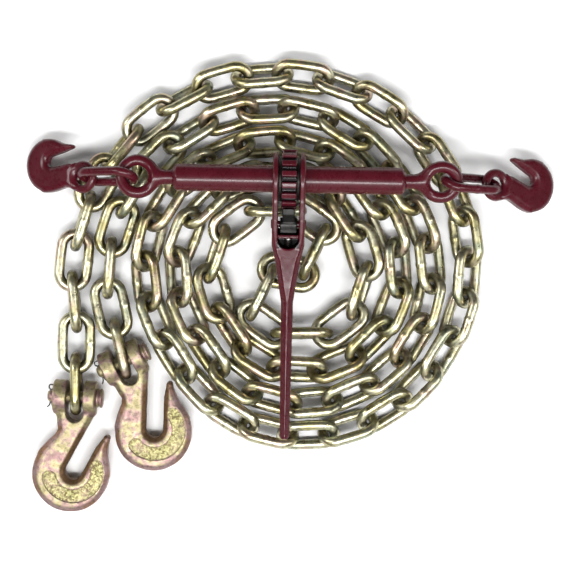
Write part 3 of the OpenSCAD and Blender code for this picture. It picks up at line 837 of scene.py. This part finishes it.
def binder_hooks():
    """Both grab hooks of the binder, each turned in its end link."""
    hook = solid(binder_hook_shape, (-24, -28, -11), (92, 56, 11), 0.8)
    for side, name, turn in ((-1, "left", 0), (1, "right", -14)):
        node = f"binder_hook_{name}"
        normal = np.array(MOUNTS[node + "_slot"]["axis"])
        out = np.cross((0, side, 0), normal)
        eye = joint_point(f"binder_hook_{name}_lift") + HOOK_EYE_R * out
        c, s = math.cos(math.radians(turn)), math.sin(math.radians(turn))
        up = np.array([0, 1.0, 0])
        matrix = place(eye, c * out + s * up, c * up - s * out, normal)
        piece(node + ".forged", [(*hook, matrix)], RED, node)


def handle_shape(x, y, z):
    """The handle: a yoke round the gear that narrows to a flat lever."""
    side_view = [(0, 28), (-50, 25), (-85, 16.5), (-150, 13.5), (-HANDLE_LEN, 10)]
    side_view += [(a, -b) for a, b in side_view[::-1]]
    top_view = [(34, 20), (-81, 20), (-100, 15.5), (-150, 7.5), (-HANDLE_LEN, 6)]
    top_view += [(a, -b) for a, b in top_view[::-1]]
    side_d = smooth_min(polygon_distance(y, z, side_view), circle_distance(y, z, (0, 0), YOKE_R), 6)
    top_d = polygon_distance(y, x, top_view)
    chamfer = 1.5 + 4.6 * np.clip((-62 - y) / 40, 0, 1)
    body = smooth_max(smooth_max(side_d, top_d, 1.5), (side_d + top_d + chamfer) / math.sqrt(2), 1.0)
    end = circle_distance(y, z, (-HANDLE_LEN + 12, 0), 14)
    body = smooth_max(body, np.where(y < -HANDLE_LEN + 12, end, -1e3), 1.5)
    slot_round = EAR_IN
    pocket = np.where(y > -SLOT_BOTTOM + slot_round, np.abs(x) - slot_round,
                      np.hypot(x, y + SLOT_BOTTOM - slot_round) - slot_round)
    body = smooth_max(body, -pocket, 2)
    across = np.abs(x) - EAR_IN - 2
    web = smooth_max(smooth_max(np.abs(y + WEB_Y) - WEB_T / 2, np.abs(z) - 12, 1.2), across, 1)
    pocket_floor = smooth_max(side_d, np.abs(y + 76) - 15, 1)
    pocket_floor = smooth_max(smooth_max(pocket_floor, z + 12.5, 1), across, 1)
    body = smooth_min(smooth_min(body, web, 2), pocket_floor, 2)
    body = smooth_max(body, BARREL_R + 0.1 - np.hypot(y, z), 0.6)
    hole = np.where(y > -WEB_Y - 6, 3.1 - np.hypot(x, z), -1e3)
    hole = np.where(y < -WEB_Y + 6, hole, -1e3)
    return smooth_max(body, hole, 0.4) + forging(x, y, z, 0.07)


def handle():
    """The handle, with painted shade inside its pocket."""
    grip = solid(handle_shape, (-23, -HANDLE_LEN - 3, -37), (23, 38, 37), 1.0)
    x, y, _ = grip[0].T
    inside = np.clip((EAR_IN + 1.2 - np.abs(x)) / 1.5, 0, 1)
    tones = np.zeros((len(x), 3))
    # painted shade: the first tone darkens the walls inside the pocket, but not the web
    tones[:, 0] = inside * (y > -SLOT_BOTTOM + 1) * (np.abs(y + WEB_Y) > WEB_T / 2 + 0.5)
    piece("handle.forged", [(*grip, HANDLE)], RED, "handle", tones)


def pawl_shape(x, y, z):
    """The pawl, with two claws towards the gear and a tail towards the plunger."""
    tip, claw_w, boss_w = 19.1, 15, 21
    claws = polygon_distance(y, z, [(0, 6), (12, 17), (tip, tip), (17, 14), (9, 0), (17, -14),
                                    (tip, -tip), (12, -17), (0, -6)])
    claws = smooth_max(claws, np.abs(x) - claw_w / 2, 1.2)
    boss = circle_distance(y, z, (0, 0), 8)
    back, half_back = PAWL_TAIL
    tail = polygon_distance(y, z, [(0, 8), (-back, half_back), (-back, -half_back), (0, -8)])
    boss = smooth_max(smooth_min(boss, tail, 2), np.abs(x) - boss_w / 2, 1.2)
    body = smooth_min(claws, boss, 1.5)
    return smooth_max(body, 4.1 - np.hypot(y, z), 0.4)


def gear():
    """The ratchet gear, with painted shade between its teeth."""
    points, quads = solid(gear_shape, (-11, -39, -39), (11, 39, 39), 0.8)
    unshaded_r, shade_depth = 36.2, 3
    tones = np.zeros((len(points), 3))
    # painted shade: darker the deeper a point lies below the tooth tips
    tones[:, 0] = np.clip((unshaded_r - np.hypot(points[:, 1], points[:, 2])) / shade_depth, 0, 1)
    piece("ratchet_gear.cut", [(points, quads, HANDLE)], RED, "ratchet_gear", tones)


def pawl():
    """The pawl and the riveted pin that it rocks on."""
    pivot = HANDLE.copy()
    pivot[:3, 3] = PAWL * MM
    rocker = solid(pawl_shape, (-12.5, -15, -22), (12.5, 22, 22), 0.7)
    piece("pawl.forged", [(*rocker, pivot)], BLACK, "pawl")
    half, pin_r, head_r, head_t = YOKE_W / 2, 4, 6, 1.5
    rivet = rounded([(-half - head_t, 0), (-half - head_t, head_r - 0.8), (-half, head_r), (-half, pin_r),
                     (half, pin_r), (half, head_r), (half + head_t, head_r - 0.8), (half + head_t, 0)], 0.7)
    piece("pawl_pin.riveted", [(*lathe(rivet, 40), pivot)], RED, "pawl_pin")


def detent():
    """The plunger and the spring that hold the pawl either way, along the handle."""
    gap, plunger_r, collar_r, collar_t, plunger_len = 0.3, 3, 5, 2, 11
    front = PAWL_Y + math.hypot(*PAWL_TAIL) + gap
    collar = WEB_Y + WEB_T / 2 + gap
    along = place(CENTRE, HANDLE[:3, 1] / -MM, HANDLE[:3, 0] / MM, HANDLE[:3, 2] / MM)
    plunger = rounded([(front, 0), (front, 2.2), (front + 0.8, plunger_r), (collar, plunger_r),
                       (collar, collar_r), (collar + collar_t, collar_r), (collar + collar_t, plunger_r),
                       (front + plunger_len, plunger_r), (front + plunger_len, 0)], 0.4)
    piece("detent_plunger.turned", [(*lathe(plunger, 36), along)], STEEL, "detent_plunger")
    turns, wire, spring_r, coil_points = 4, 0.8, 4.2, 160
    start, end = collar + collar_t + gap + wire, SLOT_BOTTOM - 2.2
    t = np.linspace(0, 1, coil_points)
    coil = np.stack([start + (end - start) * t, spring_r * np.cos(turns * 2 * math.pi * t),
                     spring_r * np.sin(turns * 2 * math.pi * t)], axis=1)
    # painted shade: the spring is near-black steel, standing for the dark inside the handle's pocket
    piece("detent_spring.wound", [(*tube(coil, wire, 14), along)], SHADE_DARK_STEEL, "detent_spring")


def ring_about_x(side, inner, outer, bore, radius, sides):
    """A plain ring about X between two distances from the middle, on one side of it."""
    ring = rounded([(inner, bore), (inner, radius), (outer, radius), (outer, bore), (inner, bore)], 0.6)
    ring[:, 0] *= side
    points, quads = lathe(ring, sides)
    return points, quads if side > 0 else quads[:, ::-1], BINDER


def inner_steel():
    """Thrust washers each side of the gear and the thread nuts inside the barrel's ends."""
    washer_t, washer_r, nut_len = 3.2, 27, 40
    near = GEAR_HALF + (EAR_IN - GEAR_HALF - washer_t) / 2
    washers = [ring_about_x(side, near, near + washer_t, BARREL_R + FIT, washer_r, 72) for side in (-1, 1)]
    # painted shade: the washers are near-black steel, standing for the dark gaps beside the gear
    piece("thrust_washers.turned", washers, SHADE_DARK_STEEL, "thrust_washers")
    outer = BARREL_LEN / 2 - BARREL_LIP
    for side, name in ((-1, "left"), (1, "right")):
        nut = ring_about_x(side, outer - nut_len, outer, SCREW_R + FIT, NUT_R, 64)
        piece(f"thread_nut_{name}.turned", [nut], STEEL, f"thread_nut_{name}")


# ---- scene -----------------------------------------------------------------


def studio():
    """A pale floor, a soft dome, overhead softboxes and a camera that looks straight down."""
    scene = bpy.context.scene
    scene.view_settings.view_transform = "Standard"
    pale_floor(scene)
    soft_dome(scene)
    softboxes(scene)
    overhead_camera(scene)


def pale_floor(scene):
    """A plain pale floor, far wider than the object."""
    reach = 6
    mesh = bpy.data.meshes.new("floor")
    mesh.from_pydata([(-reach, -reach, 0), (reach, -reach, 0), (reach, reach, 0), (-reach, reach, 0)], [],
                     [(0, 1, 2, 3)])
    floor = bpy.data.objects.new("floor", mesh)
    scene.collection.objects.link(floor)
    pale = bpy.data.materials.new("pale_floor")
    pale.use_nodes = True
    shader = pale.node_tree.nodes["Principled BSDF"]
    shader.inputs["Base Color"].default_value = (0.96, 0.96, 0.96, 1)
    shader.inputs["Roughness"].default_value = 0.9
    mesh.materials.append(pale)


def soft_dome(scene):
    """A dome that is bright overhead on the near side and dim everywhere else."""
    brightest, dim, edge, strength = (0, -0.64, 0.77), 0.09, 0.65, 1.05
    world = bpy.data.worlds.new("dome")
    scene.world = world
    world.use_nodes = True
    nodes, links = world.node_tree.nodes, world.node_tree.links
    place_in = nodes.new("ShaderNodeTexCoord")
    towards = nodes.new("ShaderNodeVectorMath")
    towards.operation = "DOT_PRODUCT"
    towards.inputs[1].default_value = brightest
    ramp = nodes.new("ShaderNodeValToRGB")
    links.new(place_in.outputs["Generated"], towards.inputs[0])
    links.new(towards.outputs["Value"], ramp.inputs["Fac"])
    ramp.color_ramp.elements[0].position = edge
    ramp.color_ramp.elements[0].color = (dim, dim, dim, 1)
    ramp.color_ramp.elements[1].position = 1.0
    ramp.color_ramp.elements[1].color = (1, 1, 1, 1)
    links.new(ramp.outputs["Color"], nodes["Background"].inputs["Color"])
    nodes["Background"].inputs["Strength"].default_value = strength


def softboxes(scene):
    """Three rectangular lamps, aimed at the middle of the object."""
    middle = (CAD_BOX[0] + CAD_BOX[1]) / 2
    for name, spot, size, power in (("key", (0.0, -1.1, 2.7), (2.4, 0.45), 84),
                                    ("left", (-2.0, 0.4, 1.9), (0.6, 1.2), 26),
                                    ("right", (2.0, -0.2, 1.9), (0.6, 1.2), 22)):
        data = bpy.data.lights.new(name, "AREA")
        data.shape = "RECTANGLE"
        data.size, data.size_y = size
        data.energy = power
        lamp = bpy.data.objects.new(name, data)
        lamp.location = spot
        lamp.rotation_euler = (Vector(middle) - Vector(spot)).to_track_quat("-Z", "Y").to_euler()
        scene.collection.objects.link(lamp)


def overhead_camera(scene):
    """A camera that looks straight down and frames the object with a small margin."""
    lens, sensor, margin, focus_z, roll = 85, 36, 1.06, 0.06, math.radians(1.1)
    low, high = CAD_BOX
    middle = (low + high) / 2
    camera = bpy.data.objects.new("camera", bpy.data.cameras.new("camera"))
    scene.collection.objects.link(camera)
    scene.camera = camera
    camera.data.lens = lens
    camera.data.sensor_width = sensor
    width = max(high.x - low.x, high.y - low.y) * margin
    height = width * lens / sensor
    camera.location = (middle.x, middle.y, height + focus_z)
    camera.rotation_euler = (0, 0, roll)


chain_links()
clevis_hooks()
barrel()
eyebolts()
binder_links()
binder_hooks()
handle()
gear()
pawl()
detent()
inner_steel()
studio()
